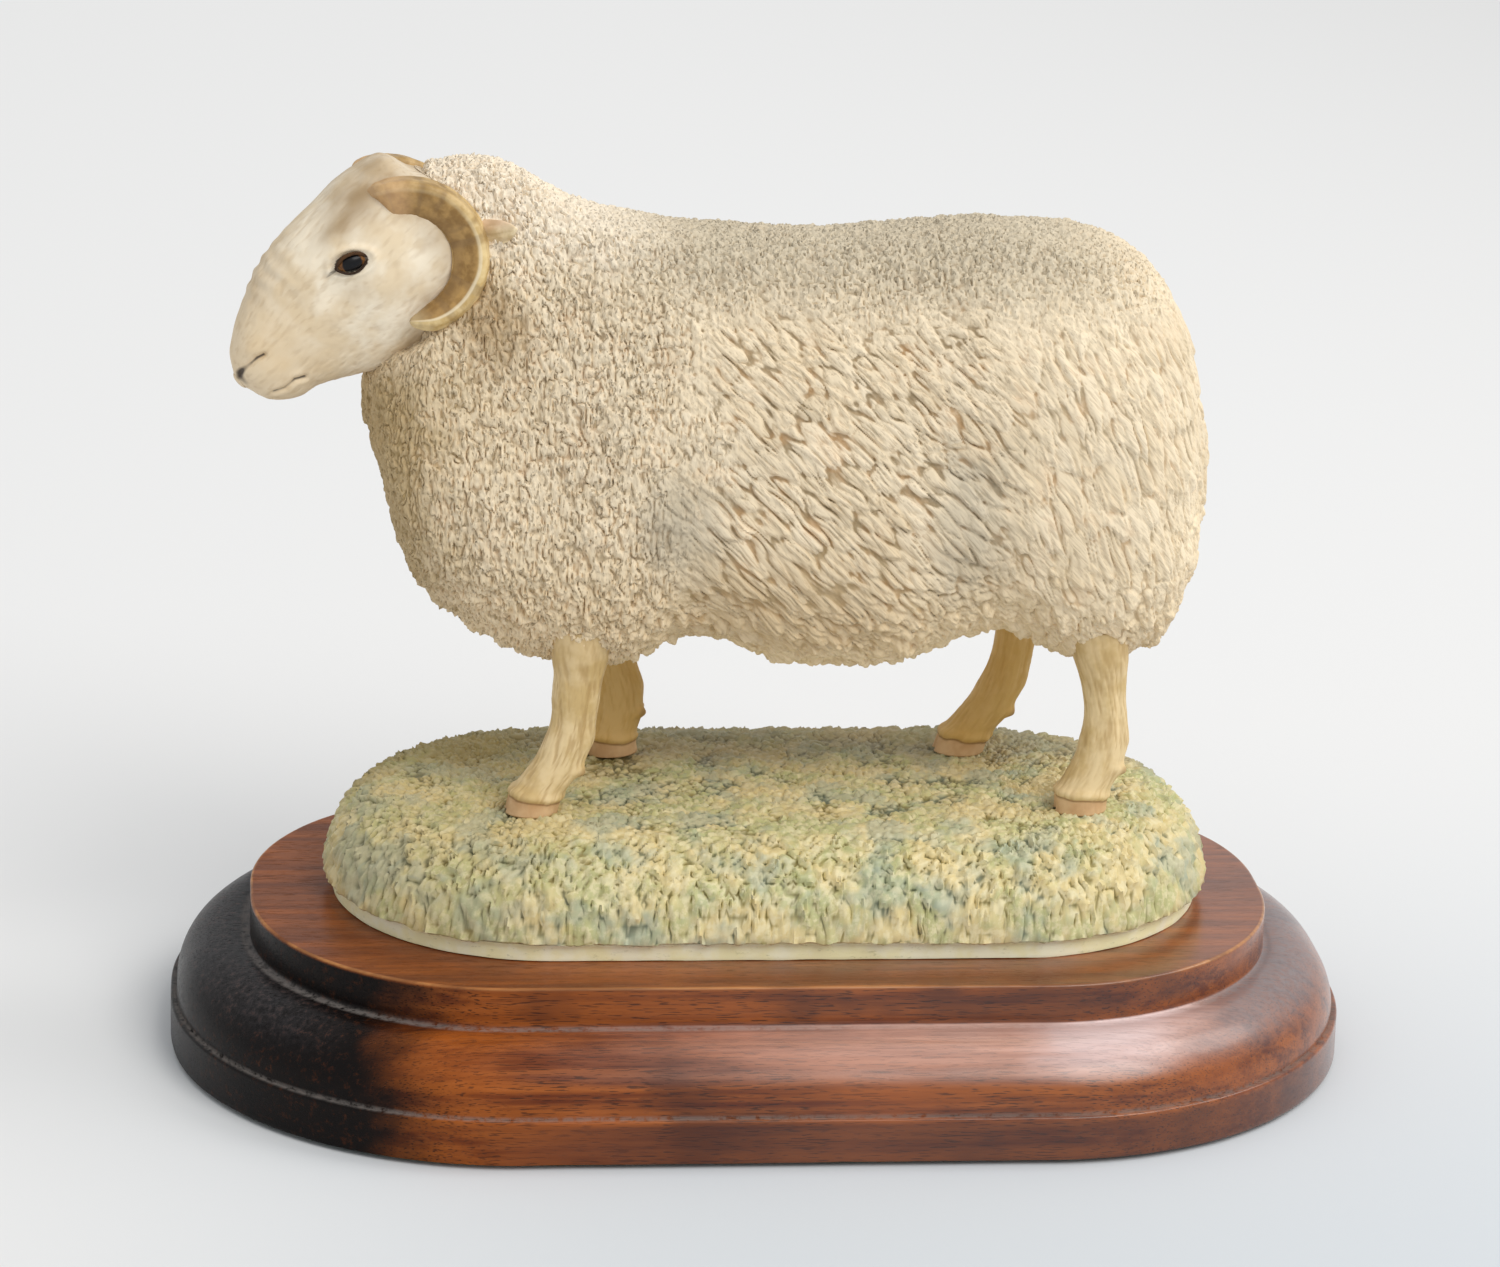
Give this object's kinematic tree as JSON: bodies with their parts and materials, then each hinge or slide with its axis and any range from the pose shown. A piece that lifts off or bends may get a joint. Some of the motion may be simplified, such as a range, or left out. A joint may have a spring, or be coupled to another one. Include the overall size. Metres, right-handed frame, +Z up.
{
  "type": "sheep figurine",
  "caption": "Standing horned sheep with a long fleece, pinned on a turf casting that is screwed to a stepped wooden plinth; it rests on its baize-covered underside.",
  "frame": {"origin": "middle of the underside of the baize", "axes": "+X from the muzzle towards the rump, +Y from the sheep's left, near side towards its far side, +Z up"},
  "size_m": [0.2, 0.12, 0.1531],
  "materials": {
    "mahogany": "satin reddish-brown mahogany, worn orange along the step",
    "baize": "matt napped baize",
    "screw_steel": "zinc-dulled steel",
    "turf": "matt painted cold-cast resin, mottled green and straw",
    "fleece": "matt painted cold-cast resin with a brown wash in the grooves",
    "face": "matt painted cold-cast resin, cream-ivory",
    "horn": "semi-matt painted cold-cast resin, ochre",
    "ear": "matt painted cold-cast resin, tan",
    "leg": "matt painted cold-cast resin, cream with brown hooves",
    "pin_steel": "bright drawn steel"
  },
  "bodies": {
    "root": {"plinth": "mahogany", "baize_pad": "baize", "fixing_screws": "screw_steel", "turf_base": "turf", "fleece_body": "fleece", "head": "face", "left_horn": "horn", "right_horn": "horn", "left_ear": "ear", "right_ear": "ear", "left_foreleg": "leg", "right_foreleg": "leg", "left_hindleg": "leg", "right_hindleg": "leg", "leg_pins": "pin_steel"}
  },
  "joints": []
}
